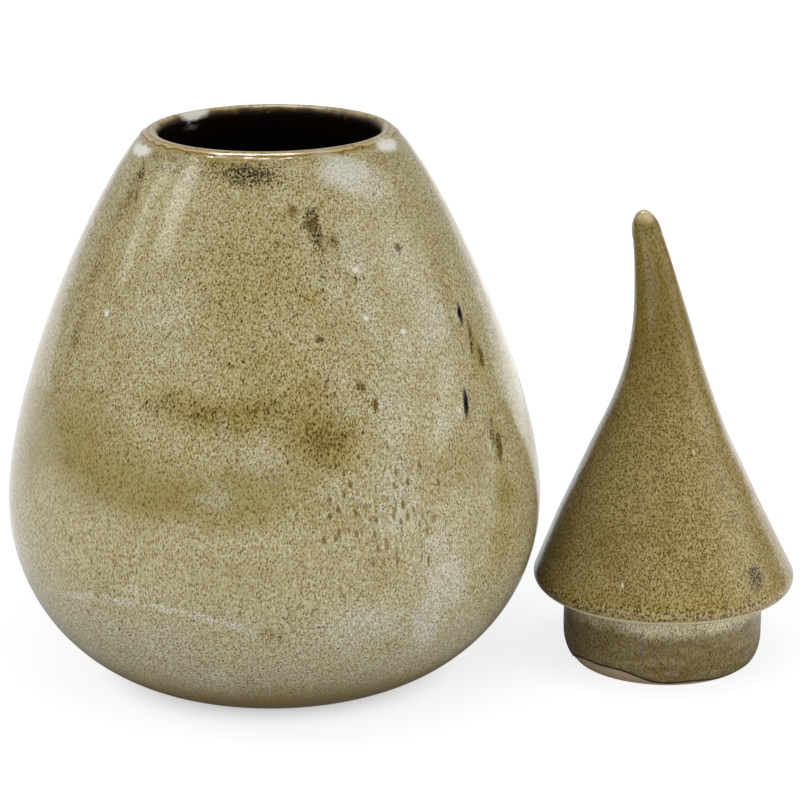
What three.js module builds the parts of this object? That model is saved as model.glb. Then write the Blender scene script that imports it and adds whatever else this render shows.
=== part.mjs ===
// A stoneware canister jar and its horn-shaped lid, which stands beside it on the table.
// Millimetres, +Z up. The jar turns about its own upright axis, and the lid's horn bends in a
// plane along X. The origin is on the table, in the middle of the ground that the pair covers.
import * as THREE from 'three';
import { mergeVertices } from 'three/addons/utils/BufferGeometryUtils.js';

const degrees = THREE.MathUtils.degToRad;

// Jar body, outside
const belly_radius = 100;
const belly_height = 66.8;
const jar_height = 207.3;
const foot_radius = 42.8;
// How far each end of the body's curve holds its direction
const foot_spread = 23.6;
const belly_drop = 41.6;
const belly_rise = 47.1;
const shoulder_reach = 11.9;
// The shoulder's slope where it meets the lip, measured from upright
const shoulder_angle = degrees(76);

// Jar body, inside and underneath
const mouth_radius = 40.6;
const wall = 5.5;
const floor_thickness = 8;
const foot_ring_width = 8;
const foot_recess = 2;

// Lid plug, which drops into the mouth
const plug_clearance = 2.8;
const plug_depth = 28.3;
const plug_wall = 8;
// The plug's rounded lower edge: how far it draws in, and how high it starts
const plug_edge_inset = 5;
const plug_edge_rise = 11;

// Lid brim, which rests on the lip
const brim_overhang = 3.5;
const brim_edge_radius = 5.2;

// Lid cone and horn: each lean is the middle line's distance from the plug's axis
const lid_wall = 5.5;
const cone_angle = degrees(23.9);
const cone_reach = 75.9;
const cone_lean = -4.8;
const waist_radius = 13.2;
const waist_height = 106;
const waist_lean = 4.2;
const horn_radius = 5.8;
const horn_height = 164.7;
const horn_lean = -8.5;
const tip_length = 10.6;
const hollow_share = 0.6;

// Where the lid stands: its brim tucks in under the belly, a little nearer the viewer
const brim_tuck = 2.4;
const lid_forward = 7.7;

// Facets
const jar_sides = 60;
const lid_sides = 40;
const lower_steps = 8;
const upper_steps = 12;
const lip_steps = 7;
const horn_steps = 20;
const tip_steps = 4;
const brim_steps = 6;
const edge_steps = 4;

// Sizes that follow
const lip_radius = wall / 2;
const lip_middle = new THREE.Vector2(mouth_radius + lip_radius, jar_height - lip_radius);
const plug_radius = mouth_radius - plug_clearance;
const bore_radius = plug_radius - plug_wall;
const brim_radius = mouth_radius + wall + brim_overhang;
const lid_x = belly_radius + brim_radius - brim_tuck;
const pair_middle = (lid_x + brim_radius - belly_radius) / 2;

// Glaze colours
const glaze_olive = 0x978e66;
const glaze_brown = 0x81734a;

// The point at an angle on a round or an oval
function roundPoint(middle, across, up, angle) {
  return new THREE.Vector2(middle.x + across * Math.cos(angle), middle.y + up * Math.sin(angle));
}

function shares(steps) {
  return Array.from({ length: steps + 1 }, (_, i) => i / steps);
}

// The body's outline from the foot to the belly, as radius and height
function lowerBody() {
  return new THREE.CubicBezierCurve(
    new THREE.Vector2(foot_radius, 0),
    new THREE.Vector2(foot_radius + foot_spread, 0),
    new THREE.Vector2(belly_radius, belly_height - belly_drop),
    new THREE.Vector2(belly_radius, belly_height),
  );
}

// The body's outline from the belly to the lip
function upperBody() {
  const lip = roundPoint(lip_middle, lip_radius, lip_radius, shoulder_angle);
  const along = new THREE.Vector2(Math.sin(shoulder_angle), -Math.cos(shoulder_angle));
  return new THREE.CubicBezierCurve(
    new THREE.Vector2(belly_radius, belly_height),
    new THREE.Vector2(belly_radius, belly_height + belly_rise),
    along.multiplyScalar(shoulder_reach).add(lip),
    lip,
  );
}

// The point on the inner wall that lies square behind a point of the outline
function innerPoint(outline, share, thickness) {
  const along = outline.getTangent(share);
  const inward = new THREE.Vector2(-along.y, along.x);
  return inward.multiplyScalar(thickness).add(outline.getPoint(share));
}

// The lip rolls over in a half round, square to the shoulder
function lipPoints() {
  return shares(lip_steps).map((share) => (
    roundPoint(lip_middle, lip_radius, lip_radius, shoulder_angle + Math.PI * share)
  ));
}

// The foot: a flat ring round a shallow recess
function footPoints() {
  const ring_inside = foot_radius - foot_ring_width;
  return [
    new THREE.Vector2(0, foot_recess),
    new THREE.Vector2(ring_inside - foot_recess, foot_recess),
    new THREE.Vector2(ring_inside, 0),
  ];
}

function jarGeometry() {
  const lower = lowerBody();
  const upper = upperBody();
  const outside_low = shares(lower_steps).map((share) => lower.getPoint(share));
  const outside_high = shares(upper_steps).slice(1, -1).map((share) => upper.getPoint(share));
  const inside_high = shares(upper_steps).slice(1, -1).reverse()
    .map((share) => innerPoint(upper, share, wall));
  const inside_low = shares(lower_steps).reverse()
    .map((share) => innerPoint(lower, share, THREE.MathUtils.lerp(floor_thickness, wall, share)));
  const profile = [
    ...footPoints(),
    ...outside_low,
    ...outside_high,
    ...lipPoints(),
    ...inside_high,
    ...inside_low,
    new THREE.Vector2(0, floor_thickness),
  ];
  return new THREE.LatheGeometry(profile, jar_sides).rotateX(Math.PI / 2);
}

// A round section of the lid: its middle, its radius and how far it tips over towards +X
function section(lean, height, radius, tip = 0) {
  return { lean, height, radius, tip };
}

// The horn's line as lean (x), radius (y) and height (z), from the brim to the tip's base
function hornCurve() {
  const brim_top = roundPoint(brimMiddle(), brim_edge_radius, brim_edge_radius, cone_angle);
  return new THREE.CubicBezierCurve3(
    new THREE.Vector3(0, brim_top.x, brim_top.y),
    new THREE.Vector3(
      cone_lean,
      brim_top.x - cone_reach * Math.sin(cone_angle),
      brim_top.y + cone_reach * Math.cos(cone_angle),
    ),
    new THREE.Vector3(waist_lean, waist_radius, waist_height),
    new THREE.Vector3(horn_lean, horn_radius, horn_height),
  );
}

function brimMiddle() {
  return new THREE.Vector2(brim_radius - brim_edge_radius, plug_depth + brim_edge_radius);
}

// Sections stay level at the brim and turn square to the horn towards its tip
function hornSection(horn, share, wall_left) {
  const place = horn.getPoint(share);
  const along = horn.getTangent(share);
  return section(place.x, place.z, place.y - wall_left, Math.atan2(share * along.x, along.z));
}

// A dome that closes the horn or its hollow, from its point down to its base
function domeSections(base, length) {
  return shares(tip_steps).slice(0, -1).map((share) => {
    const angle = (1 - share) * Math.PI / 2;
    const reach = length * Math.sin(angle);
    const lean = base.lean + reach * Math.sin(base.tip);
    const height = base.height + reach * Math.cos(base.tip);
    return section(lean, height, base.radius * Math.cos(angle), base.tip);
  });
}

function level(point) {
  return section(0, point.y, point.x);
}

// The brim's round edge, from the cone to its flat underside
function brimSections() {
  return shares(brim_steps).slice(1).map((share) => {
    const angle = THREE.MathUtils.lerp(cone_angle, -Math.PI / 2, share);
    return level(roundPoint(brimMiddle(), brim_edge_radius, brim_edge_radius, angle));
  });
}

// The plug's side, its rounded lower edge and the flat ring that it stands on
function plugSections() {
  const edge_middle = new THREE.Vector2(plug_radius - plug_edge_inset, plug_edge_rise);
  const edge = shares(edge_steps).map((share) => (
    level(roundPoint(edge_middle, plug_edge_inset, plug_edge_rise, -share * Math.PI / 2))
  ));
  return [section(0, plug_depth, plug_radius), ...edge, section(0, 0, bore_radius)];
}

// The hollow under the cone, one wall inside it, and closed below the horn
function hollowSections(horn) {
  const stations = shares(horn_steps).filter((share) => share <= hollow_share);
  const inside = stations.map((share) => hornSection(horn, share, lid_wall));
  const last = inside[inside.length - 1];
  return [
    section(0, plug_depth + lid_wall, bore_radius),
    ...inside,
    ...domeSections(last, last.radius).reverse(),
  ];
}

function lidSections() {
  const horn = hornCurve();
  const outside = shares(horn_steps).reverse().map((share) => hornSection(horn, share, 0));
  return [
    ...domeSections(outside[0], tip_length),
    ...outside,
    ...brimSections(),
    ...plugSections(),
    ...hollowSections(horn),
  ];
}

function sectionPoint({ lean, height, radius, tip }, turn) {
  const across = radius * Math.cos(turn);
  return [lean + across * Math.cos(tip), radius * Math.sin(turn), height - across * Math.sin(tip)];
}

// Joins neighbouring sections into one closed skin
function loft(sections, sides) {
  const places = sections.flatMap((each) => (
    shares(sides).slice(0, -1).flatMap((share) => sectionPoint(each, share * Math.PI * 2))
  ));
  const corners = [];
  for (let row = 0; row < sections.length - 1; row += 1) {
    for (let side = 0; side < sides; side += 1) {
      const here = row * sides + side;
      const next = row * sides + (side + 1) % sides;
      corners.push(here, here + sides, next);
      corners.push(next, here + sides, next + sides);
    }
  }
  const geometry = new THREE.BufferGeometry();
  geometry.setAttribute('position', new THREE.Float32BufferAttribute(places, 3));
  geometry.setIndex(corners);
  return mergeVertices(geometry);
}

function glazed(name, geometry, color) {
  const material = new THREE.MeshStandardMaterial({ color, roughness: 0.25, metalness: 0 });
  const mesh = new THREE.Mesh(geometry, material);
  mesh.name = name;
  return mesh;
}

function makeJar() {
  const jar = glazed('jar_body', jarGeometry(), glaze_olive);
  jar.position.set(-pair_middle, 0, 0);
  return jar;
}

function makeLid() {
  const lid = glazed('lid', loft(lidSections(), lid_sides), glaze_brown);
  lid.position.set(lid_x - pair_middle, -lid_forward, 0);
  return lid;
}

const canister = new THREE.Group();
canister.name = 'canister_jar';
canister.add(makeJar(), makeLid());

export default canister;
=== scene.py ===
# A speckled stoneware canister jar, with its horn-shaped lid standing beside it on its plug.
# Metres, +Z up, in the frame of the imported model. A turn goes round a piece's own upright axis,
# from its front, which faces the viewer, towards +X.
import math

import bmesh
import bpy
import numpy as np
from mathutils import Matrix, Vector


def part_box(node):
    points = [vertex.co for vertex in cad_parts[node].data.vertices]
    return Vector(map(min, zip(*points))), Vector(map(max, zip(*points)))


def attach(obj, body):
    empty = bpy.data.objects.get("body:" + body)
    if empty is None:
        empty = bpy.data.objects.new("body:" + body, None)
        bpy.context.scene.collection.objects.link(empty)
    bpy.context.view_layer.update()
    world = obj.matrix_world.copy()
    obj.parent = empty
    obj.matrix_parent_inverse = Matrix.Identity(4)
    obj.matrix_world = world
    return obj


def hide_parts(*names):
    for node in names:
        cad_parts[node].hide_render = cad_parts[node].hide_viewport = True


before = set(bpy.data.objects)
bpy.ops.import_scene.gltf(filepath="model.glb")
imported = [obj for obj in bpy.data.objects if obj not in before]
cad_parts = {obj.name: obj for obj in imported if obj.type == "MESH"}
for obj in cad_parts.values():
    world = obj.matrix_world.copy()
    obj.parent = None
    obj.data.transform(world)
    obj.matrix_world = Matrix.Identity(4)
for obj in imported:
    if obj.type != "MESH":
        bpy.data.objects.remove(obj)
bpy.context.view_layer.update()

mm = 0.001
degree = math.pi / 180

# Places and overall sizes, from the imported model
jar_low, jar_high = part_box("jar_body")
lid_low, lid_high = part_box("lid")
jar_axis = Vector(((jar_low.x + jar_high.x) / 2, (jar_low.y + jar_high.y) / 2, 0))
lid_axis = Vector(((lid_low.x + lid_high.x) / 2, (lid_low.y + lid_high.y) / 2, 0))
belly_radius = (jar_high.x - jar_low.x) / 2
jar_height = jar_high.z
brim_radius = (lid_high.x - lid_low.x) / 2

# Jar body
belly_height = 66.8 * mm
foot_radius = 42.8 * mm
foot_spread = 23.6 * mm
belly_drop = 41.6 * mm
belly_rise = 47.1 * mm
shoulder_reach = 11.9 * mm
shoulder_angle = 76 * degree
mouth_radius = 40.6 * mm
wall = 5.5 * mm
floor_thickness = 8 * mm
foot_ring_width = 8 * mm
foot_recess = 2 * mm
lip_radius = wall / 2
lip_middle = (mouth_radius + lip_radius, jar_height - lip_radius)

# Lid
plug_clearance = 2.8 * mm
plug_depth = 28.3 * mm
plug_wall = 8 * mm
plug_radius = mouth_radius - plug_clearance
bore_radius = plug_radius - plug_wall
plug_edge_inset = 5 * mm
plug_edge_rise = 11 * mm
brim_edge_radius = 5.2 * mm
brim_middle = (brim_radius - brim_edge_radius, plug_depth + brim_edge_radius)
lid_wall = 5.5 * mm
cone_angle = 23.9 * degree
cone_reach = 75.9 * mm
cone_lean = -4.8 * mm
waist_radius = 13.2 * mm
waist_height = 106 * mm
waist_lean = 4.2 * mm
horn_radius = 5.8 * mm
horn_height = 164.7 * mm
horn_lean = -8.5 * mm
tip_length = 10.6 * mm
hollow_share = 0.6

# Camera: its place, its turns in radians, and its lens and sensor in millimetres
camera_place = Vector((-0.0861, -1.0989, 0.4312))
camera_yaw = 0.0772
camera_pitch = 0.2902
camera_roll = -0.0045
camera_lens = 137.9
camera_sensor = 36

# Fineness of the meshes: steps, how far the finest steps reach about a mark and below the lip,
# and the lid's rows
outside_step = 2 * mm
inside_step = 5 * mm
lip_step = 0.45 * mm
turn_step = 1.5 * degree
fine_step = 0.3 * mm
fine_reach_along = 3.2 * mm
fine_reach_around = 1.6 * mm
lip_margin = 5 * lip_radius
horn_rows = 110
brim_rows = 40
underside_rows = 10
plug_side_rows = 40
plug_edge_rows = 90
standing_ring_rows = 6
bore_rows = 12
dome_rows = 24
# Points in an outline, along which the jar's rows are then chosen
curve_points = 200
round_points = 60
straight_points = 30
# Points closer together than this become one, and a shorter length counts as none
same_place = 1e-7
no_length = 1e-12


# Outlines, as rows of radius and height

def bezier(start, leaving, arriving, end, count=curve_points):
    share = np.linspace(0, 1, count)[:, None]
    back = 1 - share
    points = [np.array(point, float) for point in (start, leaving, arriving, end)]
    weights = [back ** 3, 3 * back ** 2 * share, 3 * back * share ** 2, share ** 3]
    return sum(weight * point for weight, point in zip(weights, points))


def oval(middle, across, up, start, end, count=round_points):
    angles = np.linspace(start, end, count)
    return np.stack([middle[0] + across * np.cos(angles), middle[1] + up * np.sin(angles)], 1)


def straight(start, end, count=straight_points):
    share = np.linspace(0, 1, count)[:, None]
    return np.array(start) * (1 - share) + np.array(end) * share


def joined(*stretches):
    """One outline, without the points that neighbouring stretches share."""
    return np.vstack([stretches[0]] + [stretch[1:] for stretch in stretches[1:]])


def lengths(outline):
    """How far along the outline each of its points lies."""
    steps = np.linalg.norm(np.diff(outline, axis=0), axis=1)
    return np.concatenate([[0], np.cumsum(steps)])


def leftward(outline):
    """The unit vector to the left of the way along the outline, at each point."""
    along = np.gradient(outline, axis=0)
    along /= np.linalg.norm(along, axis=1)[:, None]
    return np.stack([-along[:, 1], along[:, 0]], 1)


def jar_lip_end():
    turned = np.array([math.cos(shoulder_angle), math.sin(shoulder_angle)])
    return np.array(lip_middle) + lip_radius * turned


def jar_lower():
    return bezier((foot_radius, 0), (foot_radius + foot_spread, 0),
                  (belly_radius, belly_height - belly_drop), (belly_radius, belly_height))


def jar_upper():
    end = jar_lip_end()
    along = np.array([math.sin(shoulder_angle), -math.cos(shoulder_angle)])
    return bezier((belly_radius, belly_height), (belly_radius, belly_height + belly_rise),
                  end + shoulder_reach * along, end)


def jar_lip():
    return oval(lip_middle, lip_radius, lip_radius, shoulder_angle, shoulder_angle + math.pi)


def jar_inside():
    """The inner wall, from the lip down to the floor."""
    lower, upper = jar_lower(), jar_upper()
    thickness = np.linspace(floor_thickness, wall, len(lower))[:, None]
    inner_lower = lower + leftward(lower) * thickness
    inner_upper = upper + leftward(upper) * wall
    return joined(inner_upper[::-1], inner_lower[::-1])


def jar_foot():
    ring_inside = foot_radius - foot_ring_width
    return joined(straight((0, foot_recess), (ring_inside - foot_recess, foot_recess)),
                  straight((ring_inside - foot_recess, foot_recess), (ring_inside, 0)),
                  straight((ring_inside, 0), (foot_radius, 0)))


# Meshes

def spaced(start, end, step, spots=(), near=0, close_step=0):
    """Places from start to end, a step apart, and closer together near each spot."""
    places = [start]
    while places[-1] < end - step / 2:
        close = any(abs(places[-1] - spot) < near for spot in spots)
        places.append(places[-1] + (close_step if close else step))
    return np.array(places[:-1] + [end])


def skinned(name, grid, materials, slots):
    """A closed skin over a grid of points. Each row runs once round, and slots gives its material."""
    rows, sides = grid.shape[:2]
    corner = np.arange(rows * sides).reshape(rows, sides)
    next_side = np.roll(corner, -1, axis=1)
    quads = np.stack([corner[:-1], next_side[:-1], next_side[1:], corner[1:]], -1).reshape(-1, 4)
    mesh = bpy.data.meshes.new(name)
    mesh.from_pydata(grid.reshape(-1, 3).tolist(), [], quads.tolist())
    for material in materials:
        mesh.materials.append(material)
    mesh.polygons.foreach_set("material_index", np.repeat(slots[:-1], sides).astype(np.int32))
    mesh.polygons.foreach_set("use_smooth", np.ones(len(quads), bool))
    piece = bpy.data.objects.new(name, mesh)
    bpy.context.scene.collection.objects.link(piece)
    return piece


def merge_poles(piece):
    """Turns the rows of points that meet on the axis into one point each."""
    work = bmesh.new()
    work.from_mesh(piece.data)
    bmesh.ops.remove_doubles(work, verts=work.verts, dist=same_place)
    bmesh.ops.recalc_face_normals(work, faces=work.faces)
    work.to_mesh(piece.data)
    work.free()


def note(piece, name, values):
    """Stores one number for each point, for the materials to read."""
    layer = piece.data.attributes.new(name, "FLOAT", "POINT")
    layer.data.foreach_set("value", np.asarray(values, np.float32).ravel())


def outward(grid, way=1):
    """The unit vector square to the skin at each point of a grid, whose outside runs up, or down
    where way is -1."""
    along = np.gradient(grid, axis=0) * way
    around = np.roll(grid, -1, axis=1) - np.roll(grid, 1, axis=1)
    square = np.cross(around, along)
    size = np.linalg.norm(square, axis=2, keepdims=True)
    return square / np.maximum(size, no_length)


def waves(turn, reach, parts):
    """A gentle unevenness from -1 to 1: parts are (waves round, length of a wave along, shift)."""
    total = sum(np.sin(count * turn + 2 * math.pi * reach / length + shift)
                for count, length, shift in parts)
    return total / len(parts)


def dent(across, along, half_width, half_length, lean):
    """A smooth dip or heap, 1 in its middle, about a place on the skin."""
    turned_across = across * math.cos(lean) + along * math.sin(lean)
    turned_along = along * math.cos(lean) - across * math.sin(lean)
    return np.exp(-(turned_across / half_width) ** 2 - (turned_along / half_length) ** 2)


# The jar

# Pinched slits and burst bubbles in the glaze: turn and lean in degrees; height, half width,
# half length and depth in millimetres
slits = [
    (56.2, 147.1, 0.55, 2.2, -12, 0.9),
    (47.5, 118.1, 0.6, 3.0, -14, 0.9),
]
bubbles = [
    (23.1, 168.9, 0.9, 0.9, 0, 0.35),
    (23.2, 153.2, 0.7, 0.7, 0, 0.3),
    (33.4, 147.3, 0.8, 0.8, 0, 0.3),
    (-51.2, 151.8, 0.8, 0.9, 0, 0.3),
]
# About the jar's radius at the marks, and how their glaze dips and heaps up round them
radius_at_marks = belly_radius * 0.8
hole_share = 1.35
heap_share = 0.35
heap_width_share = 2
heap_length_share = 1.5
# The bead of glaze that rolls up under the lip
glaze_roll = 0.3 * mm
glaze_roll_reach = 4.7 * mm
glaze_roll_width = 0.6 * mm
glaze_roll_sway = 1.0 * mm
sway_waves = [(9, 1, 0.5), (23, 1, 1.9), (41, 1, 0.7), (67, 1, 2.2), (95, 1, 1.1)]
roll_patchiness = 0.4
patchy_waves = [(3, 1, 1.1), (7, 1, 0.2), (11, 1, 2.5)]
# The unevenness that throwing leaves, close and broad
throwing_depth = 0.05 * mm
uneven_depth = 0.07 * mm
throwing_waves = [(1, 13 * mm, 0.4), (2, 17.5 * mm, 2.1), (0, 9.5 * mm, 1.2)]
uneven_waves = [(2, 150 * mm, 0.3), (3, 90 * mm, 2.6), (5, 60 * mm, 4.4)]


def jar_rows():
    """The jar's rows as radius and height, how far each lies outside the lip's crown, which is
    below 0 on the inner wall, and whether it is glazed."""
    foot, inside = jar_foot(), jar_inside()
    body = joined(foot, jar_lower(), jar_upper())
    outline = joined(body, jar_lip(), inside, straight(inside[-1], (0, floor_thickness)))
    reach = lengths(outline)
    foot_end = reach[len(foot) - 1]
    lip_start = reach[len(body) - 1]
    crown = reach[np.argmax(outline[:, 1])]
    lip_end = lip_start + math.pi * lip_radius
    outside = (reach > foot_end) & (reach < crown)
    marks = [np.interp(spot[1] * mm, outline[outside, 1], reach[outside]) for spot in slits + bubbles]
    places = np.unique(np.concatenate([
        spaced(0, foot_end, inside_step),
        spaced(foot_end, lip_start - lip_margin, outside_step, marks, fine_reach_along, fine_step),
        spaced(lip_start - lip_margin, lip_end + lip_radius, lip_step),
        spaced(lip_end + lip_radius, reach[-1], inside_step),
    ]))
    rows = np.stack([np.interp(places, reach, outline[:, axis]) for axis in (0, 1)], 1)
    return rows, crown - places, places > foot_end


def jar_turns():
    """The angles of the jar's points round its axis, closer together near each mark."""
    marks = [spot[0] * degree % (2 * math.pi) for spot in slits + bubbles]
    near = fine_reach_around / radius_at_marks
    close_step = fine_step / radius_at_marks
    return spaced(0, 2 * math.pi, turn_step, sorted(marks), near, close_step)[:-1]


def revolved(rows, turns, axis):
    """A grid of points: each row turned round an upright axis."""
    radius, height = rows[:, :1], rows[:, 1:]
    across = radius * np.sin(turns)
    towards = -radius * np.cos(turns)
    return np.stack([axis.x + across, axis.y + towards, height + 0 * across], -1)


def jar_relief(rows, turns, past):
    """How far the glaze stands out or in at each point of the jar."""
    turn, reach = turns[None, :], past[:, None]
    outside = (past > 0)[:, None] & (rows[:, 1:] > foot_recess)
    fade = np.clip(rows[:, 1:] / belly_drop, 0, 1)
    throwing = throwing_depth * (waves(turn, reach, throwing_waves) - 1)
    uneven = uneven_depth * (waves(turn, reach, uneven_waves) - 1)
    relief = (throwing + uneven) * fade * outside
    for where, height, half_width, half_length, lean, depth in slits + bubbles:
        row = np.argmin(np.abs(rows[:, 1] - height * mm) + (past < 0))
        across = (np.mod(turn - where * degree + math.pi, 2 * math.pi) - math.pi) * rows[row, 0]
        along = past[row] - reach
        hole = dent(across, along, half_width * mm, half_length * mm, lean * degree)
        heap = dent(across, along, heap_width_share * half_width * mm,
                    heap_length_share * half_length * mm, lean * degree)
        relief += (heap_share * heap - hole_share * hole) * depth * mm * outside
    ragged = glaze_roll_reach + glaze_roll_sway * waves(turn, 0, sway_waves)
    roll = np.exp(-((reach - ragged) / glaze_roll_width) ** 2)
    patchy = 1 - roll_patchiness + roll_patchiness * waves(turn, 0, patchy_waves)
    return relief + roll * glaze_roll * patchy


def make_jar():
    rows, past, glazed = jar_rows()
    turns = jar_turns()
    grid = revolved(rows, turns, jar_axis)
    grid += outward(grid) * jar_relief(rows, turns, past)[:, :, None]
    slots = np.where(glazed, 0, 1)
    jar = skinned("jar_glazed", grid, [jar_glaze_material(), clay_material()], slots)
    note(jar, "past_lip", np.repeat(past, len(turns)))
    merge_poles(jar)
    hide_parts("jar_body")
    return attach(jar, "jar")


# The lid

# The uneven line where the glaze ends above bare clay on the plug. Ripples are height, waves round
# and shift.
clay_line_low = 0.9 * mm
clay_line_rise = 4.8 * mm
clay_line_turn = -47 * degree
clay_line_spread = 27 * degree
clay_line_ripples = [(0.35 * mm, 9, 0), (0.3 * mm, 4, 1)]
glaze_depth = 0.35 * mm
glaze_edge_width = 0.5 * mm
lid_waves = [(2, 70 * mm, 1.3), (3, 45 * mm, 0.2), (5, 30 * mm, 3.4)]
lid_uneven_depth = 0.15 * mm


def horn_line():
    """The horn's sections from the brim to the tip's base: lean, radius, height."""
    start = oval(brim_middle, brim_edge_radius, brim_edge_radius, cone_angle, cone_angle, 1)[0]
    return bezier(
        (0, start[0], start[1]),
        (cone_lean, start[0] - cone_reach * math.sin(cone_angle),
         start[1] + cone_reach * math.cos(cone_angle)),
        (waist_lean, waist_radius, waist_height),
        (horn_lean, horn_radius, horn_height), horn_rows)


def horn_sections(thickness):
    """Sections as lean, height, radius and how far each tips over towards +X."""
    line = horn_line()
    along = np.gradient(line, axis=0)
    share = np.linspace(0, 1, len(line))
    tip = np.arctan2(share * along[:, 0], along[:, 2])
    return np.stack([line[:, 0], line[:, 2], line[:, 1] - thickness, tip], 1)


def dome(base, length):
    """Sections that close the horn or its hollow, from the base to the point."""
    lean, height, radius, tip = base
    angle = np.linspace(0, math.pi / 2, dome_rows)
    reach = length * np.sin(angle)
    return np.stack([lean + reach * math.sin(tip), height + reach * math.cos(tip),
                     radius * np.cos(angle), tip + 0 * angle], 1)


def level(outline):
    none = np.zeros(len(outline))
    return np.stack([none, outline[:, 1], outline[:, 0], none], 1)


def clay_line(turns):
    """How high the bare clay shows on the plug's lower edge."""
    off = np.mod(turns - clay_line_turn + math.pi, 2 * math.pi) - math.pi
    high = clay_line_rise * np.exp(-np.abs(off / clay_line_spread) ** 3)
    ripple = sum(size * np.sin(count * turns + shift) for size, count, shift in clay_line_ripples)
    return clay_line_low + high + ripple


def plug_outline():
    edge_middle = (plug_radius - plug_edge_inset, plug_edge_rise)
    return joined(
        straight((plug_radius, plug_depth), (plug_radius, plug_edge_rise), plug_side_rows),
        oval(edge_middle, plug_edge_inset, plug_edge_rise, 0, -math.pi / 2, plug_edge_rows),
        straight((plug_radius - plug_edge_inset, 0), (bore_radius, 0), standing_ring_rows))


def lid_sections():
    """The lid's sections, from its tip round the brim and plug into its hollow, and the rows
    where the plug starts and ends."""
    outside = horn_sections(0)
    inside = horn_sections(lid_wall)
    inside = inside[:int(hollow_share * len(inside))]
    brim = oval(brim_middle, brim_edge_radius, brim_edge_radius, cone_angle, -math.pi / 2, brim_rows)
    under = straight(brim[-1], (plug_radius, plug_depth), underside_rows)
    bore = straight((bore_radius, 0), (bore_radius, plug_depth + lid_wall), bore_rows)
    tip = dome(outside[-1], tip_length)
    above_plug = joined(tip[::-1], outside[::-1], level(brim), level(under))
    plug = level(plug_outline())
    hollow = joined(level(bore), inside, dome(inside[-1], inside[-1][2]))
    plug_start = len(above_plug) - 1
    plug_end = plug_start + len(plug) - 1
    return joined(above_plug, plug, hollow), plug_start, plug_end


def lofted(sections, turns, axis):
    """A grid of points: each section's ring, about an upright axis."""
    lean, height, radius, tip = (sections[:, [part]] for part in range(4))
    across = radius * np.sin(turns)
    return np.stack([axis.x + lean + across * np.cos(tip), axis.y - radius * np.cos(turns),
                     height - across * np.sin(tip)], -1)


def lid_skin():
    """The lid's grid of points, how far each lies above the glaze's lower edge, and each row's
    material."""
    sections, plug_start, plug_end = lid_sections()
    turns = np.arange(0, 2 * math.pi, turn_step)
    grid = lofted(sections, turns, lid_axis)
    row = np.arange(len(sections))
    on_plug = (row > plug_start) & (row <= plug_end)
    beyond = row > plug_end
    heights = np.where(beyond, -1, sections[:, 1])[:, None]
    above = heights - clay_line(turns)[None, :]
    above = np.where(on_plug[:, None] | beyond[:, None], above, np.maximum(above, plug_edge_rise))
    reach = lengths(sections[:, [2, 1]])[:, None]
    outer = (~beyond)[:, None]
    uneven = lid_uneven_depth * (waves(turns[None, :], reach, lid_waves) - 1) * outer
    bare = glaze_depth * np.clip(0.5 - above / glaze_edge_width, 0, 1)
    fade = np.clip(grid[:, :, 2] / glaze_edge_width, 0, 1)
    grid += outward(grid, -1) * ((uneven - bare * outer) * fade)[:, :, None]
    return grid, above, np.where(beyond, 1, 0)


def make_lid():
    grid, above, slots = lid_skin()
    lid = skinned("lid_glazed", grid, [lid_glaze_material(), clay_material()], slots)
    note(lid, "above_clay", above)
    merge_poles(lid)
    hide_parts("lid")
    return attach(lid, "lid")


# Material graphs

# A noise's middle value
middle_gray = 0.5


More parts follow.
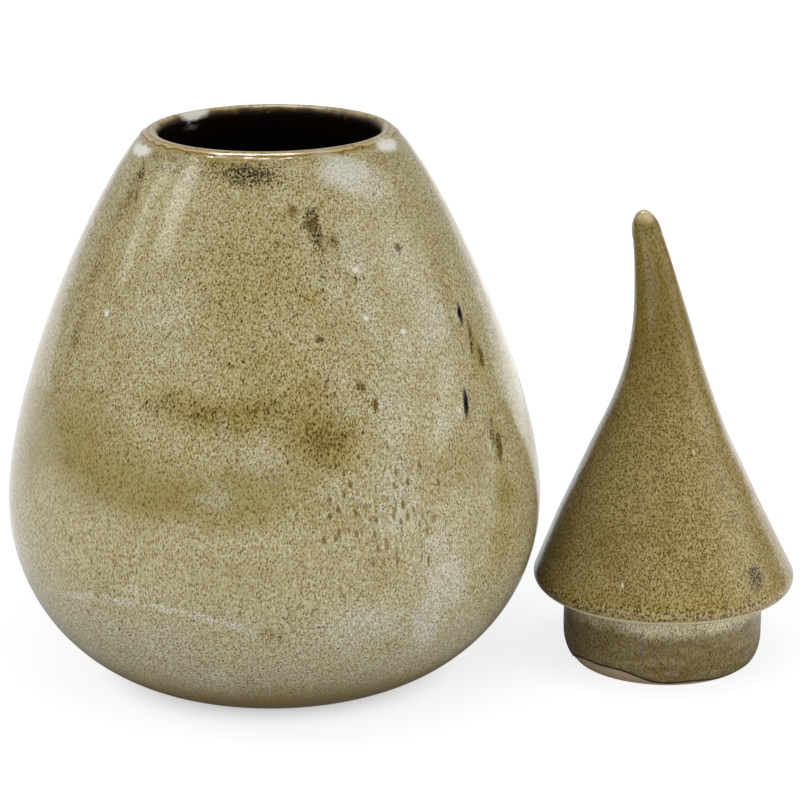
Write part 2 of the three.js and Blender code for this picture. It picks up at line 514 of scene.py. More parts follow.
class Graph:
    """A material's nodes. Each call adds a node and gives back one of its outputs."""

    def __init__(self, name):
        self.material = bpy.data.materials.new(name)
        self.material.use_nodes = True
        self.tree = self.material.node_tree
        self.tree.nodes.clear()

    def node(self, kind, inputs=(), **settings):
        made = self.tree.nodes.new(kind)
        for key, value in settings.items():
            setattr(made, key, value)
        for key, value in dict(inputs).items():
            if isinstance(value, bpy.types.NodeSocket):
                self.tree.links.new(value, made.inputs[key])
            else:
                made.inputs[key].default_value = value
        return made

    def math(self, operation, *values):
        return self.node("ShaderNodeMath", enumerate(values), operation=operation).outputs[0]

    def vector(self, operation, *values):
        return self.node("ShaderNodeVectorMath", enumerate(values), operation=operation).outputs[0]

    def length(self, value):
        return self.node("ShaderNodeVectorMath", {0: value}, operation="LENGTH").outputs["Value"]

    def between(self, value, low, high, to_low=0.0, to_high=1.0):
        """Goes smoothly from to_low to to_high as the value goes from low to high."""
        inputs = {0: value, 1: low, 2: high, 3: to_low, 4: to_high}
        node = self.node("ShaderNodeMapRange", inputs, interpolation_type="SMOOTHSTEP")
        return node.outputs[0]

    def mix(self, share, first, second, blend="MIX"):
        inputs = {0: share, 6: first, 7: second}
        node = self.node("ShaderNodeMix", inputs, data_type="RGBA", blend_type=blend)
        return node.outputs[2]

    def noise(self, place, size, detail=2.0, output="Fac"):
        inputs = {"Vector": place, "Scale": 1 / size, "Detail": detail}
        return self.node("ShaderNodeTexNoise", inputs).outputs[output]

    def attribute(self, name):
        return self.node("ShaderNodeAttribute", attribute_name=name).outputs["Fac"]

    def place(self, axis):
        """The point on the surface, measured from the foot of the piece's own axis."""
        point = self.node("ShaderNodeTexCoord").outputs["Object"]
        return self.vector("SUBTRACT", point, axis)

    def rise(self, place):
        """How high a place lies."""
        return self.node("ShaderNodeSeparateXYZ", {0: place}).outputs["Z"]

    def shaken(self, place, size, amount):
        """The place, moved about a little at random, so that soft edges break up."""
        shake = self.vector("SUBTRACT", self.noise(place, size, 3.0, "Color"), (middle_gray,) * 3)
        return self.vector("ADD", place, self.vector("MULTIPLY", shake, (amount,) * 3))

    def belt(self, value, first_fade, second_fade):
        """Where two fades of one value meet: a band round the piece."""
        first = self.between(value, *first_fade)
        return self.math("MULTIPLY", first, self.between(value, *second_fade))

    def total(self, values):
        """The sum of the values, up to 1."""
        sum_so_far = values[0]
        for value in values[1:]:
            sum_so_far = self.math("ADD", sum_so_far, value)
        return self.math("MINIMUM", sum_so_far, 1.0)

    def finish(self, color, roughness, height, bump_depth, **plain):
        """Joins the shader to its colour, roughness and fine relief, and gives the material."""
        bump = self.node("ShaderNodeBump", {"Height": height, "Distance": bump_depth}).outputs[0]
        inputs = {"Base Color": color, "Roughness": roughness, "Normal": bump, **plain}
        shader = self.node("ShaderNodeBsdfPrincipled", inputs)
        self.node("ShaderNodeOutputMaterial", {"Surface": shader.outputs[0]})
        return self.material


def rgb(red, green, blue):
    return (red, green, blue, 1.0)


def mark_frame(outline, turn, height, lean):
    """The place on a round outline, and the turned frame of its skin: across, along, out."""
    row = np.argmin(np.abs(outline[:, 1] - height))
    out = -leftward(outline)[row]
    ahead = Vector((math.sin(turn), -math.cos(turn), 0))
    place = ahead * outline[row, 0] + Vector((0, 0, outline[row, 1]))
    normal = ahead * out[0] + Vector((0, 0, out[1]))
    across = Vector((math.cos(turn), math.sin(turn), 0))
    along = normal.cross(across)
    leant = Matrix.Rotation(lean, 3, normal)
    return place, Matrix((leant @ across, leant @ along, normal)).transposed()


# How far a patch reaches through the wall, and the share of it that has its full strength
patch_through = 25 * mm
patch_core = 0.15


def patches(graph, place, outline, marks):
    """Soft-edged patches on the skin, up to 1: a list of marks in degrees and millimetres."""
    cover = 0.0
    for turn, height, half_width, half_length, lean, strength in marks:
        middle, axes = mark_frame(outline, turn * degree, height * mm, lean * degree)
        inputs = {"Vector": place, "Location": middle, "Rotation": axes.to_euler(),
                  "Scale": (half_width * mm, half_length * mm, patch_through)}
        local = graph.node("ShaderNodeMapping", inputs, vector_type="TEXTURE").outputs[0]
        share = graph.between(graph.length(local), 1.0, patch_core, 0.0, strength)
        cover = graph.math("ADD", cover, share)
    return graph.math("MINIMUM", cover, 1.0)


# The size of the noise in and between specks, as a share of their spacing
grain_share = 0.8


def specks(graph, place, spacing, radius, core, squash, ragged=0.0):
    """Specks, longer than wide: their cover from 0 to 1, and each speck's own two numbers.

    The radius is a share of the spacing. Past about a half, neighbouring specks run together.
    A squash below 1 draws them out lengthwise.
    """
    drawn = graph.vector("MULTIPLY", place, (1.0, 1.0, squash))
    cells = graph.node("ShaderNodeTexVoronoi", {"Vector": drawn, "Scale": 1 / spacing})
    numbers = graph.node("ShaderNodeSeparateColor", {0: cells.outputs["Color"]}).outputs
    middle = graph.math("MULTIPLY", radius, core)
    distance = cells.outputs["Distance"]
    if ragged:
        tear = graph.math("SUBTRACT", graph.noise(drawn, grain_share * spacing, 1.0), middle_gray)
        distance = graph.math("MULTIPLY_ADD", tear, ragged, distance)
    return graph.between(distance, radius, middle), numbers[0], numbers[1]


# The close specks of both glazes. Here and below, a fade says where a value starts and ends, and
# then what it becomes, which is 0 to 1 if left out.
grain_squash = 0.6
grain_fade = (0.6, 0.42, 0.0, 0.62)
grain_brown = rgb(0.27, 0.19, 0.03)
close_specks = {"core": 0.4, "squash": 0.62, "ragged": 0.7}
close_darkening = 0.3
close_fade = (0.0, 0.85, 0.4, 1.0)
close_light = rgb(0.27, 0.16, 0.02)
close_dark = rgb(0.09, 0.05, 0.005)
close_black = rgb(0.008, 0.004, 0.001)


def speckled(graph, place, ground, radius, depth, spacing):
    """Close brown specks over the ground. They are nearly black where the depth is 1."""
    drawn = graph.vector("MULTIPLY", place, (1.0, 1.0, grain_squash))
    grain = graph.noise(drawn, grain_share * spacing, 2.0)
    ground = graph.mix(graph.between(grain, *grain_fade), ground, grain_brown)
    small, number, other = specks(graph, place, spacing, radius, **close_specks)
    number = graph.math("MULTIPLY_ADD", depth, close_darkening, number)
    small = graph.math("MULTIPLY", small, graph.between(number, *close_fade))
    tone = graph.mix(other, close_light, close_dark)
    speck_color = graph.mix(depth, tone, close_black)
    return graph.mix(small, ground, speck_color)


def scattered(graph, place, color, shape, crowding, fade, speck_color):
    """Wider specks over the colour. Crowding lists patterns, and how far each adds specks."""
    cover, number, _ = specks(graph, place, **shape)
    for pattern, share in crowding:
        number = graph.math("MULTIPLY_ADD", pattern, share, number)
    cover = graph.math("MULTIPLY", cover, graph.between(number, *fade))
    return graph.mix(cover, color, speck_color)


# Bare clay
clay_grain_size = 0.7 * mm
clay_grain_depth = 0.08 * mm
clay_cloud_size = 14 * mm
clay_cloud_fade = (0.35, 0.7, 0.0, 0.5)
clay_dark = rgb(0.36, 0.23, 0.14)
clay_light = rgb(0.62, 0.46, 0.33)
clay_cloud = rgb(0.3, 0.19, 0.1)
clay_roughness = 0.75


def clay_material():
    graph = Graph("bare_clay")
    place = graph.node("ShaderNodeTexCoord").outputs["Object"]
    grain = graph.noise(place, clay_grain_size, 4.0)
    cloud = graph.noise(place, clay_cloud_size, 3.0)
    color = graph.mix(grain, clay_dark, clay_light)
    color = graph.mix(graph.between(cloud, *clay_cloud_fade), color, clay_cloud)
    return graph.finish(color, clay_roughness, grain, clay_grain_depth)


# Marks in the jar's glaze: turn, height, half width, half length, lean, strength
brown_clouds = [
    (-9, 202, 26, 9, 0, 0.6), (-26, 202, 14, 7, 0, 0.6), (7.6, 115.5, 20, 14, 0, 1.0),
    (10.5, 109, 14, 9, 0, 0.5), (8.9, 132, 9, 9, 0, 0.6), (-12, 122, 24, 11, 0, 0.6),
    (0, 128, 24, 12, 0, 0.5), (-15, 125.5, 26, 9, 0, 0.5), (-28, 126, 18, 9, 0, 0.4),
    (-4, 141, 22, 12, 0, 0.35), (9, 161, 7, 7, 0, 0.5), (-12, 165, 26, 34, 0, 0.3),
    (1.5, 172, 12, 26, 0, 0.25), (-3.2, 47, 8, 5, -20, 0.7), (56, 84, 6, 9, 0, 0.4),
]
dark_spots = [
    (-9, 200.5, 14, 6.5, 0, 1.1), (3, 202, 15, 5, 0, 0.45), (-20, 201, 14, 5.5, 0, 0.45),
    (14, 203, 10, 3, 0, 0.4), (11.3, 186, 4.4, 6.5, -12, 1.4), (12.6, 181, 3.8, 6.5, -10, 1.1),
    (13.5, 172, 2.2, 12, 0, 0.35), (12.5, 163, 2, 12, 0, 0.3), (8.7, 115, 12, 8, 0, 0.35),
    (-28.5, 125.5, 10, 5, 0, 0.25), (-17.7, 124, 12, 5, 0, 0.2), (-3, 126.5, 12, 5, 0, 0.2),
    (57, 137.5, 2.2, 10, -20, 1.0), (59, 130.5, 3, 6, -22, 1.2), (54.5, 105.5, 2.2, 9, -14, 0.9),
    (56, 99, 3, 8, -10, 1.3), (40, 173.7, 2.6, 3.4, 0, 1.0), (10, 147.5, 2.2, 2.2, 0, 1.2),
    (21.9, 124.8, 1.8, 4.2, -10, 1.2), (18.6, 131.6, 3.4, 2.8, 0, 0.9),
    (17, 178, 4.4, 3.8, 0, 0.6), (5.6, 189.2, 3.4, 3.4, 0, 0.4), (-62, 189, 4.4, 17, 0, 0.45),
    (-63, 165, 4.4, 18, 0, 0.35), (-61.5, 141, 4.4, 18, 0, 0.4), (-60.5, 197, 2.6, 6.5, 25, 0.8),
    (-42.7, 200.5, 13, 4.5, 0, 0.4), (22.2, 166.0, 1.0, 3.2, 0, 0.9),
    (23.6, 165.8, 1.0, 3.0, 0, 0.9), (25.0, 166.2, 1.0, 2.6, 0, 0.9),
]
olive_patches = [
    (-12, 97, 36, 18, 3, 0.95), (-32, 96, 30, 20, 3, 0.85), (-50, 104, 28, 30, 0, 0.85),
    (-68, 104, 22, 32, 0, 0.85), (-60, 150, 6, 36, 0, 0.25), (-57, 190, 4, 14, 10, 0.5),
    (21.6, 178.5, 9, 7, 0, 0.6), (5.6, 189, 3.5, 3.5, 0, 0.5), (41.7, 100.5, 14, 12, 0, 0.4),
    (48, 92, 10, 13, 0, 0.6), (-28, 146, 18, 12, 0, 0.1), (55, 82, 11, 14, 0, 0.7),
    (57.5, 134, 5, 14, -22, 0.7), (55.3, 102, 5, 14, -12, 0.7), (2, 105, 20, 12, 0, 0.4),
    (-8, 69, 36, 12, 0, 0.25),
]
pale_patches = [
    (29, 200, 14, 10, 0, 1.4), (37, 195, 14, 13, 0, 0.8), (24, 176, 9, 16, 0, 0.6),
    (24, 155, 7, 22, 0, 0.6), (15, 163, 8, 14, 0, 0.35), (-38, 155, 14, 14, 0, 0.3),
    (40, 170, 16, 22, 0, 0.45), (43, 150, 14, 18, 0, 0.65), (32, 140, 14, 12, 0, 0.4),
    (25, 122, 12, 20, 0, 0.6), (12.5, 97, 14, 10, 0, 0.4), (24, 92, 16, 26, 0, 0.7),
    (39.6, 115, 12, 10, 0, 0.6), (33, 70, 20, 20, 0, 0.6), (31, 42, 9, 17, 12, 1.1),
    (36, 57, 14, 16, 10, 0.9), (16, 48, 24, 14, 0, 0.5), (-36, 42, 34, 12, 0, 0.25),
    (44, 128, 7, 12, -20, 0.6),
]
cream_lines = [
    (-48, 51.8, 15, 2.4, 13, 1.0), (-36, 55, 14, 2.4, 4, 1.0), (-26, 55, 12, 2.2, -4, 1.0),
    (53.6, 147, 2.2, 3.2, -12, 1.2), (44.6, 116.5, 3.4, 4.4, -12, 1.2),
    (-17.5, 53, 11, 2.2, -10, 1.0), (-10, 49.5, 9, 2, -19, 0.9), (-30, 60, 16, 3, 0, 0.5),
]
drip_patches = [
    (8, 84, 12, 17, 0, 0.6), (14, 92, 18, 20, 0, 0.8), (24, 80, 24, 26, 0, 0.9),
    (31, 98, 16, 18, 0, 0.75), (22, 110, 9, 12, 0, 0.45),
]
dabs = [
    (5.6, 189.2, 2.8, 2.8, 0, 0.7), (18.4, 179.6, 2.0, 2.6, 0, 0.6), (40, 173.7, 1.8, 2.0, 0, 0.9),
    (-48.9, 73.4, 1.0, 2.2, 10, 0.9), (-42.9, 67.3, 1.0, 1.8, 15, 0.8),
    (-46, 46.3, 1.2, 2.0, 0, 0.7), (10, 147.5, 1.7, 1.9, 0, 1.3),
    (21.9, 124.8, 1.3, 3.4, -10, 1.2), (-57, 190, 1.2, 4.5, 25, 0.9),
    (11.4, 184.5, 2.4, 5, -14, 0.7), (59, 131, 1.8, 5, -22, 0.8), (56.2, 98.5, 1.8, 6, -10, 1.0),
    (18.6, 131.6, 2.2, 1.8, 0, 0.7), (17.7, 71.5, 2.2, 1.8, 0, 0.7),
    (32.7, 83.6, 1.6, 1.6, 0, 0.7), (-45, 204.8, 9, 1.6, 0, 0.5), (-58, 205.2, 7, 1.5, 0, 0.5),
]
cream_pools = [
    (-74, 205.4, 15, 2.2, 0, 1.2), (-139, 206.5, 10, 3.4, 0, 1.2), (61, 204.5, 12, 3.6, 0, 1.0),
]
rim_veils = [(28, 199.5, 13, 10, 0, 0.4), (22, 203, 6, 4, 0, 0.3)]


def painted_light_patches(dents, wider, longer, strength):
    """Patches over dents, wider and longer than they are: painted shade in the slits, painted
    highlights on the bubbles.
    """
    return [(turn, height, wider * half_width, longer * half_length, lean, strength)
            for turn, height, half_width, half_length, lean, _ in dents]


# Painted shade: near-black patches over the slits, wider and longer than their dents
slit_shade_patches = painted_light_patches(slits, wider=3.2, longer=2.6, strength=1.6)
# Painted highlights: cream glints over the burst bubbles
bubble_highlights = painted_light_patches(bubbles, wider=2.1, longer=2.1, strength=1.0)

# Both glazes: the fine relief of their skin, and how they bend light
peel_size = 5 * mm
peel_depth = 0.12 * mm
glaze_ior = 1.5

# The jar's glaze. A shake is the size of the disorder in a soft edge, and how far it moves it.
near_shake = (3 * mm, 2.2 * mm)
far_shake = (28 * mm, 10 * mm)
broad_size = 45 * mm
cloud_size = 11 * mm
dark_fade = (0.6, 0.8, 0.0, 0.5)
olive_fade = (0.5, 0.75, 0.0, 0.35)
pale_fade = (0.42, 0.25, 0.0, 0.5)
pale_low_fade = (70 * mm, 40 * mm, 0.0, 0.35)
# Painted shade in the slits
slit_shade_black = rgb(0.01, 0.005, 0.002)
dab_brown = rgb(0.12, 0.07, 0.012)
# Painted highlights on the bubbles, and the pale veils under the rim, share this cream
highlight_and_veil_cream = rgb(0.68, 0.67, 0.58)
inside_roughness_fade = (0, -3 * mm, 0.13, 0.4)


def jar_glaze_material():
    """The jar's glaze: its broad patches, then specks, lip, painted shade in the slits, dabs, and
    painted highlights on the bubbles over them.
    """
    graph = Graph("jar_glaze")
    place = graph.place(jar_axis)
    outside = joined(jar_lower(), jar_upper(), jar_lip())
    past = graph.attribute("past_lip")
    nearby = graph.shaken(place, *near_shake)
    spots = patches(graph, nearby, outside, dark_spots)
    shaken = graph.shaken(nearby, *far_shake)
    broad = graph.noise(place, broad_size, 3.0)
    cloud = graph.noise(place, cloud_size, 3.0)
    dark = graph.total([
        patches(graph, shaken, outside, brown_clouds),
        graph.between(broad, *dark_fade)])
    olive = graph.total([
        patches(graph, shaken, outside, olive_patches),
        graph.between(cloud, *olive_fade)])
    rise = graph.rise(place)
    pale = graph.total([
        patches(graph, shaken, outside, pale_patches),
        graph.between(rise, *pale_low_fade),
        patches(graph, nearby, outside, cream_lines),
        graph.between(broad, *pale_fade)])
    dripping = patches(graph, nearby, outside, drip_patches)
    color = jar_speckles(graph, place, spots, dark, olive, pale, dripping)
    color = jar_lip_color(graph, place, past, color, outside)
    # Painted shade: the slits and their edges turn near-black
    slit_shade = patches(graph, place, outside, slit_shade_patches)
    color = graph.mix(slit_shade, color, slit_shade_black)
    dab = patches(graph, nearby, outside, dabs)
    color = graph.mix(dab, color, dab_brown)
    # Painted highlights on the bubbles, with the rim's pale veils
    highlights_and_veils = patches(graph, place, outside, bubble_highlights + rim_veils)
    color = graph.mix(highlights_and_veils, color, highlight_and_veil_cream)
    peel = graph.noise(place, peel_size, 2.0)
    roughness = graph.between(past, *inside_roughness_fade)
    return graph.finish(color, roughness, peel, peel_depth, IOR=glaze_ior)


# The jar's ground under its specks, from its commonest colour to the painted shade that darkens it
# towards the foot
jar_tan = rgb(0.515, 0.49, 0.315)
jar_olive = rgb(0.305, 0.275, 0.115)
jar_brown = rgb(0.35, 0.285, 0.1)
jar_pale = rgb(0.62, 0.62, 0.535)
spot_brown = rgb(0.24, 0.16, 0.025)
spot_share = 0.3
foot_painted_shade = rgb(0.20, 0.11, 0.0)
foot_shade_fade = (27 * mm, 7 * mm, 0.0, 1.0)
# Its close specks: their radius, and what the patterns add to it and to their darkness
jar_spacing = 0.74 * mm
jar_radius = 0.62
dark_swell = 0.1
spot_swell = 0.26
pale_swell = -0.2
dark_depth = 0.3
# Fine upright streaks, stronger where the glaze drips
streak_squash = 0.14
streak_size = 0.9 * mm
streak_fade = (0.48, 0.66, 0.0, 0.6)
streak_drip_fade = (0.0, 0.8, 0.25, 1.2)
streak_brown = rgb(0.30, 0.235, 0.07)
# Coarse specks, and drops where the glaze drips
coarse_shape = {"spacing": 1.2 * mm, "radius": 0.47, "core": 0.45, "squash": 0.7, "ragged": 0.4}
coarse_dark_share = 0.25
coarse_spot_share = 0.6
coarse_fade = (0.9, 1.04, 0.0, 0.9)
coarse_brown = rgb(0.035, 0.018, 0.002)
drop_shape = {"spacing": 2.3 * mm, "radius": 0.42, "core": 0.3, "squash": 0.42, "ragged": 0.8}
drop_share = 0.9
drop_fade = (0.93, 1.35, 0.0, 0.9)
drop_brown = rgb(0.13, 0.08, 0.008)


def jar_speckles(graph, place, spots, dark, olive, pale, dripping):
    """The jar's ground with its close specks, streaks, coarse specks and drops."""
    ground = graph.mix(olive, jar_tan, jar_olive)
    ground = graph.mix(dark, ground, jar_brown)
    ground = graph.mix(pale, ground, jar_pale)
    ground = graph.mix(graph.math("MULTIPLY", spots, spot_share), ground, spot_brown)
    # Painted shade: the ground darkens to brown towards the foot, where shade falls
    low = graph.between(graph.rise(place), *foot_shade_fade)
    ground = graph.mix(low, ground, foot_painted_shade)
    radius = graph.math("MULTIPLY_ADD", dark, dark_swell, jar_radius)
    radius = graph.math("MULTIPLY_ADD", spots, spot_swell, radius)
    radius = graph.math("MULTIPLY_ADD", pale, pale_swell, radius)
    depth = graph.total([graph.math("MULTIPLY", dark, dark_depth), spots])
    color = speckled(graph, place, ground, radius, depth, jar_spacing)

    drawn = graph.vector("MULTIPLY", place, (1.0, 1.0, streak_squash))
    streak = graph.between(graph.noise(drawn, streak_size, 2.0), *streak_fade)
    streak = graph.math("MULTIPLY", streak, graph.between(dripping, *streak_drip_fade))
    color = graph.mix(streak, color, streak_brown)

    crowding = [(dark, coarse_dark_share), (spots, coarse_spot_share)]
    color = scattered(graph, place, color, coarse_shape, crowding, coarse_fade, coarse_brown)
    crowding = [(dripping, drop_share)]
    return scattered(graph, place, color, drop_shape, crowding, drop_fade, drop_brown)


# The lip's bands of colour: how many millimetres outside the lip's crown each starts, and its colour
lip_bands = [
    (-5.0, rgb(0.010, 0.005, 0.002)), (-3.7, rgb(0.03, 0.016, 0.004)), (-2.9, rgb(0.13, 0.08, 0.02)),
    (-2.1, rgb(0.42, 0.33, 0.14)), (-0.9, rgb(0.66, 0.55, 0.36)), (0.4, rgb(0.42, 0.29, 0.09)),
    (1.6, rgb(0.58, 0.45, 0.22)), (2.6, rgb(0.20, 0.11, 0.03)), (3.4, rgb(0.40, 0.31, 0.12)),
]
band_softness = 0.5
lip_edge_size = 5 * mm
lip_edge_reach = 2.8 * mm
lip_fade = (5.0 * mm, 4.0 * mm)
fleck_size = 2.4 * mm
fleck_fade = (0.43, 0.34, 0.0, 0.7)
fleck_inside_fade = (-5 * mm, -4 * mm)
fleck_brown = rgb(0.12, 0.07, 0.015)
pool_shake = (3 * mm, 2.5 * mm)
pool_fade = (0.05, 0.8, 0.0, 0.95)
pool_cream = rgb(0.80, 0.77, 0.68)


def jar_lip_color(graph, place, past, color, outside):
    """The glaze breaks into ochre and cream lines on the lip, and the colour darkens to near-black
    inside the mouth.
    """
    edge = graph.math("SUBTRACT", graph.noise(place, lip_edge_size, 4.0), middle_gray)
    shift = graph.math("MULTIPLY_ADD", edge, lip_edge_reach, past)
    thin = graph.between(shift, *lip_fade)
    lip = lip_bands[0][1]
    for start, band_color in lip_bands[1:]:
        reached = graph.between(shift, (start - band_softness) * mm, (start + band_softness) * mm)
        lip = graph.mix(reached, lip, band_color)
    flecks = graph.between(graph.noise(place, fleck_size, 3.0), *fleck_fade)
    flecks = graph.math("MULTIPLY", flecks, graph.between(shift, *fleck_inside_fade))
    lip = graph.mix(flecks, lip, fleck_brown)
    color = graph.mix(thin, color, lip)
    pools = patches(graph, graph.shaken(place, *pool_shake), outside, cream_pools)
    pools = graph.between(pools, *pool_fade)
    return graph.mix(pools, color, pool_cream)


# Marks in the lid's glaze, as above
lid_clouds = [
    (-7.7, 15.9, 12, 7, 0, 0.6), (15.8, 12.9, 10, 6, 0, 0.5), (-69.9, 11.5, 12, 7, 0, 0.6),
    (-46, 150, 5, 12, 0, 0.6), (-29, 143, 5, 12, 0, 0.6), (-16, 132, 6, 14, 0, 0.6),
    (-6, 117, 8, 14, 0, 0.4),
]
lid_dabs = [(39, 42.6, 5.5, 7, 0, 1.2), (70.3, 57.3, 2, 4, 0, 0.8)]
lid_pits = [(-28.5, 42.5, 0.8, 1.6, 20, 1.0), (15.2, 88.5, 0.5, 1.4, 0, 0.8)]

# The lid's glaze: patterns
lid_shake = (3 * mm, 3 * mm)
lid_cloud_size = 16 * mm
lid_cloud_fade = (0.45, 0.75, 0.0, 0.8)
lid_edge_size = 7 * mm
lid_edge_reach = 6 * mm
# Fades with height: the plug, its pale top, the cone's ochre foot, the horn, the brim's pale edge,
# its dots and its line of cream, and the tip
plug_fade = (31 * mm, 33 * mm, 1.0, 0.0)
plug_pale_fade = (21 * mm, 27 * mm)
cone_foot_start = (30 * mm, 32 * mm)
cone_foot_end = (45 * mm, 38 * mm)
horn_fade = (72 * mm, 145 * mm, 0.0, 0.92)
brim_fades = (38 * mm, 32 * mm, 0.0, 0.85), (28.5 * mm, 30 * mm)
dot_fades = (39 * mm, 34 * mm, 0.0, 0.9), (29.5 * mm, 31 * mm)
rim_fades = (28.5 * mm, 29.0 * mm), (31.2 * mm, 30.2 * mm)
tip_fade = (173 * mm, 179 * mm)
# The lid's colours
lid_tan = rgb(0.44, 0.37, 0.175)
horn_brown = rgb(0.205, 0.157, 0.045)
plug_dark = rgb(0.12, 0.10, 0.055)
plug_light = rgb(0.25, 0.225, 0.155)
plug_pale = rgb(0.62, 0.58, 0.43)
lid_cloud_tint = rgb(0.75, 0.7, 0.6)
cone_foot_ochre = rgb(0.42, 0.33, 0.12)
brim_ochre = rgb(0.53, 0.44, 0.21)
pit_cream = rgb(0.7, 0.68, 0.6)
dot_brown = rgb(0.05, 0.028, 0.004)
rim_cream = rgb(0.80, 0.71, 0.46)
# Partly painted highlight: the tip's cap is lighter than its ochre glaze alone
tip_ochre_and_highlight = rgb(0.80, 0.66, 0.38)
glaze_edge_painted_shadow = rgb(0.02, 0.014, 0.008)
clay_brown = rgb(0.40, 0.30, 0.20)
# Rings on the plug, and the dots along the brim
ring_squash = 3.0
ring_size = 9 * mm
ring_fade = (0.3, 0.7)
dot_shape = {"spacing": 1.6 * mm, "radius": 0.44, "core": 0.55, "squash": 0.95}
# The lid's close specks: their radius and darkness, and what the patterns add to them
lid_spacing = 0.66 * mm
lid_radius = 0.68
lid_dark_swell = 0.06
dab_swell = 0.3
lid_depth = 0.4
dab_depth = 0.6
# Where the glaze ends above the clay, with a painted shadow line under the glaze's raised edge, and
# how rough the two are
glaze_edge_shadow_fade = (1.6 * mm, 0.7 * mm)
clay_fade = (0.35 * mm, 0.05 * mm)
glaze_roughness = 0.16
clay_added_roughness = 0.6


def lid_glaze_material():
    """The lid's glaze: its ground, close specks, trim, and the clay where the glaze ends, under a
    painted shadow line.
    """
    graph = Graph("lid_glaze")
    outside = np.concatenate([plug_outline()[::-1], horn_line()[:, 1:]])
    place = graph.place(lid_axis)
    rise = graph.rise(place)
    above = graph.attribute("above_clay")
    cloud = graph.noise(place, lid_cloud_size, 3.0)
    edge = graph.noise(place, lid_edge_size, 3.0)
    edge = graph.math("MULTIPLY_ADD", edge, lid_edge_reach, rise)
    plug = graph.between(edge, *plug_fade)
    pale = graph.math("MULTIPLY", plug, graph.between(edge, *plug_pale_fade))
    cone_foot = graph.between(edge, *cone_foot_end)
    cone_foot = graph.math("MULTIPLY", cone_foot, graph.between(rise, *cone_foot_start))
    nearby = graph.shaken(place, *lid_shake)
    dark = graph.total([
        patches(graph, nearby, outside, lid_clouds),
        graph.between(cloud, *lid_cloud_fade)])
    ground = lid_ground(graph, place, rise, plug, pale, dark, cone_foot)
    radius = graph.math("MULTIPLY_ADD", dark, lid_dark_swell, lid_radius)
    radius = graph.math("MULTIPLY_ADD", pale, pale_swell, radius)
    dab = patches(graph, nearby, outside, lid_dabs)
    radius = graph.math("MULTIPLY_ADD", dab, dab_swell, radius)
    depth = graph.math("MULTIPLY_ADD", dab, dab_depth, lid_depth)
    color = speckled(graph, place, ground, radius, depth, lid_spacing)
    pit = patches(graph, place, outside, lid_pits)
    color = graph.mix(pit, color, pit_cream)
    color = lid_trim(graph, place, rise, edge, color)
    # Painted shadow: a near-black line under the glaze's edge, above the bare clay
    color = graph.mix(graph.between(above, *glaze_edge_shadow_fade), color, glaze_edge_painted_shadow)
    clay = graph.between(above, *clay_fade)
    color = graph.mix(clay, color, clay_brown)
    peel = graph.noise(place, peel_size, 2.0)
    roughness = graph.math("MULTIPLY_ADD", clay, clay_added_roughness, glaze_roughness)
    return graph.finish(color, roughness, peel, peel_depth, IOR=glaze_ior)


def lid_ground(graph, place, rise, plug, pale, dark, cone_foot):
    """The lid's colour under its specks: browner up the horn, and ringed round the plug."""
    ground = graph.mix(graph.between(rise, *horn_fade), lid_tan, horn_brown)
    ring = graph.noise(graph.vector("MULTIPLY", place, (1.0, 1.0, ring_squash)), ring_size, 3.0)
    plug_color = graph.mix(graph.between(ring, *ring_fade), plug_dark, plug_light)
    ground = graph.mix(plug, ground, plug_color)
    ground = graph.mix(pale, ground, plug_pale)
    clouded = graph.mix(1.0, ground, lid_cloud_tint, "MULTIPLY")
    ground = graph.mix(dark, ground, clouded)
    ground = graph.mix(cone_foot, ground, cone_foot_ochre)
    return graph.mix(graph.belt(rise, *brim_fades), ground, brim_ochre)


def lid_trim(graph, place, rise, edge, color):
    """Dots and a line of cream along the brim, and the tip's cap, partly the glaze's own ochre and
    partly a painted highlight.
    """
    dots = specks(graph, place, **dot_shape)[0]
    for fade in dot_fades:
        dots = graph.math("MULTIPLY", dots, graph.between(rise, *fade))
    color = graph.mix(dots, color, dot_brown)
    color = graph.mix(graph.belt(rise, *rim_fades), color, rim_cream)
    return graph.mix(graph.between(edge, *tip_fade), color, tip_ochre_and_highlight)


# Stage, lights and camera

floor_half = 12.0
floor_gray = rgb(0.38, 0.38, 0.38)
floor_roughness = 0.9
# The floor's glow: its fade outwards, and where it starts and is full, as shares of the radius of
# the piece on it, under the jar for the camera, leaving a painted shadow, and round both pieces for
# their reflections, leaving painted shade in them
glow_fade = (0.15, 1.0, 0.8, 0.98)
painted_shadow_under_jar = (0.25, 0.72)
painted_shade_in_reflections = (0.6, 2.2)


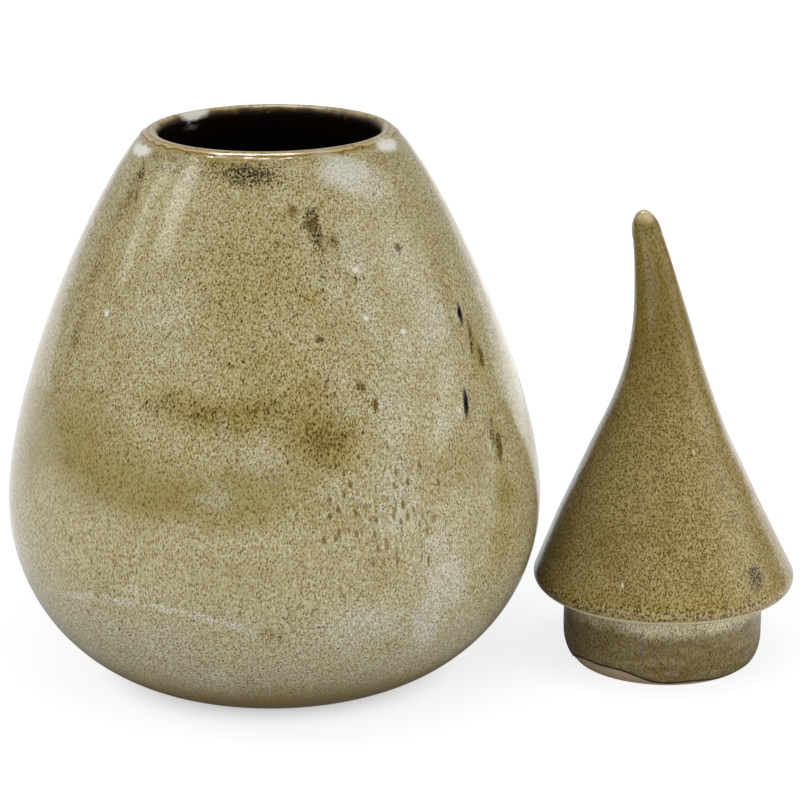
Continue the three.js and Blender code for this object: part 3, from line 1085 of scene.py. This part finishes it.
def make_floor():
    """A floor that glows white to the camera, though not under the jar, where a painted shadow is
    left, and glows in reflections only where it is clear of both pieces, so that their reflections
    near them hold painted shade."""
    mesh = bpy.data.meshes.new("floor")
    corners = [(x * floor_half, y * floor_half, 0) for x, y in ((-1, -1), (1, -1), (1, 1), (-1, 1))]
    mesh.from_pydata(corners, [], [(0, 1, 2, 3)])
    graph = Graph("pale_floor")
    place = graph.node("ShaderNodeTexCoord").outputs["Object"]
    glow = graph.between(graph.length(place), *glow_fade)
    mirrored_glow = glow
    off_jar = graph.length(graph.vector("SUBTRACT", place, jar_axis))
    off_lid = graph.length(graph.vector("SUBTRACT", place, lid_axis))
    # Painted shadow: the glow fades out under the jar
    jar_shadow_mask = graph.between(off_jar, *(share * belly_radius for share in painted_shadow_under_jar))
    glow = graph.math("MULTIPLY", glow, jar_shadow_mask)
    # Painted shade in reflections: the mirrored glow fades out near both pieces
    for off, radius in ((off_jar, belly_radius), (off_lid, brim_radius)):
        clear_of_reflected_shade = graph.between(off, *(share * radius for share in painted_shade_in_reflections))
        mirrored_glow = graph.math("MULTIPLY", mirrored_glow, clear_of_reflected_shade)
    rays = graph.node("ShaderNodeLightPath").outputs
    mirrored = graph.total([rays["Is Glossy Ray"], rays["Is Transmission Ray"]])
    glow = graph.math("ADD", graph.math("MULTIPLY", rays["Is Camera Ray"], glow),
                      graph.math("MULTIPLY", mirrored, mirrored_glow))
    shader = graph.node("ShaderNodeBsdfPrincipled", {
        "Base Color": floor_gray, "Roughness": floor_roughness, "Specular IOR Level": 0.0,
        "Emission Color": rgb(1, 1, 1), "Emission Strength": glow})
    graph.node("ShaderNodeOutputMaterial", {"Surface": shader.outputs[0]})
    mesh.materials.append(graph.material)
    floor = bpy.data.objects.new("floor", mesh)
    bpy.context.scene.collection.objects.link(floor)


# How the studio's strength changes from the viewer's side to the side behind the object
studio_fade = {"From Min": 0.5, "From Max": 0.93, "To Min": 0.2, "To Max": 0.7}


def make_world():
    """A studio that is white behind the object and dimmer on the viewer's side."""
    world = bpy.data.worlds.new("studio")
    world.use_nodes = True
    tree = world.node_tree
    tree.nodes.clear()
    place = tree.nodes.new("ShaderNodeTexCoord")
    split = tree.nodes.new("ShaderNodeSeparateXYZ")
    share = tree.nodes.new("ShaderNodeMapRange")
    share.interpolation_type = "SMOOTHSTEP"
    for name, value in studio_fade.items():
        share.inputs[name].default_value = value
    background = tree.nodes.new("ShaderNodeBackground")
    output = tree.nodes.new("ShaderNodeOutputWorld")
    tree.links.new(place.outputs["Generated"], split.inputs[0])
    tree.links.new(split.outputs["Y"], share.inputs["Value"])
    tree.links.new(share.outputs[0], background.inputs["Strength"])
    tree.links.new(background.outputs[0], output.inputs[0])
    bpy.context.scene.world = world


light_aim = Vector((0, 0, 0.1))
# Soft boxes: name, turn and rise from the object in degrees, distance, width and height in metres,
# radiance that the face shows, roll in degrees, whether it is mirrored, and whether it lights
soft_boxes = [
    ("strip_left", -102, 30, 1.5, 0.2, 0.55, 2.5, 18, True, True),
    ("strip_front", -81, 40, 1.5, 0.3, 0.6, 4.0, 18, True, True),
    ("strip_between", -95, 41, 1.5, 0.35, 0.4, 1.0, 18, True, True),
    ("low_back_right", 146, -6, 0.5, 0.3, 0.09, 0.4, 0, True, False),
    ("right_shine", 82, 25, 1.5, 1.1, 1.0, 0.8, 0, True, False),
    ("overhead", 0, 80, 1.3, 0.9, 0.7, 1.6, 0, False, True),
    ("overhead_shine", -152, 75, 1.28, 0.7, 0.22, 20, -28, True, False),
    ("front_fill", 8, 8, 2.0, 1.6, 0.7, 3.0, 0, False, True),
    ("left_fill", -57, 8, 2.0, 1.6, 0.7, 6.0, 0, False, True),
    ("right_fill", 65, 8, 2.0, 1.6, 0.7, 7.4, 0, False, True),
]


def make_light(name, turn, rise, distance, width, height, radiance, roll, mirrored, lights):
    """A soft box that faces light_aim and isn't seen by the camera."""
    lamp = bpy.data.lights.new(name, "AREA")
    lamp.shape = "RECTANGLE"
    lamp.size = width
    lamp.size_y = height
    lamp.energy = radiance * math.pi * width * height
    light = bpy.data.objects.new(name, lamp)
    level_reach = math.cos(rise * degree)
    away = Vector((math.sin(turn * degree) * level_reach, -math.cos(turn * degree) * level_reach,
                   math.sin(rise * degree)))
    light.location = light_aim + away * distance
    facing = away.to_track_quat("Z", "Y").to_matrix() @ Matrix.Rotation(roll * degree, 3, "Z")
    light.rotation_euler = facing.to_euler()
    light.visible_camera = False
    light.visible_glossy = mirrored
    light.visible_diffuse = lights
    bpy.context.scene.collection.objects.link(light)


def make_camera():
    lens = bpy.data.cameras.new("camera")
    lens.lens = camera_lens
    lens.sensor_width = camera_sensor
    ahead = Vector((math.sin(camera_yaw) * math.cos(camera_pitch),
                    math.cos(camera_yaw) * math.cos(camera_pitch), -math.sin(camera_pitch)))
    level_right = Vector((math.cos(camera_yaw), -math.sin(camera_yaw), 0))
    level_up = level_right.cross(ahead)
    right = level_right * math.cos(camera_roll) + level_up * math.sin(camera_roll)
    up = level_up * math.cos(camera_roll) - level_right * math.sin(camera_roll)
    camera = bpy.data.objects.new("camera", lens)
    turned = Matrix((right, up, -ahead)).transposed().to_4x4()
    camera.matrix_world = Matrix.Translation(camera_place) @ turned
    bpy.context.scene.collection.objects.link(camera)
    bpy.context.scene.camera = camera


bpy.context.scene.view_settings.view_transform = "Standard"
make_camera()
make_world()
for soft_box in soft_boxes:
    make_light(*soft_box)
make_floor()
make_jar()
make_lid()
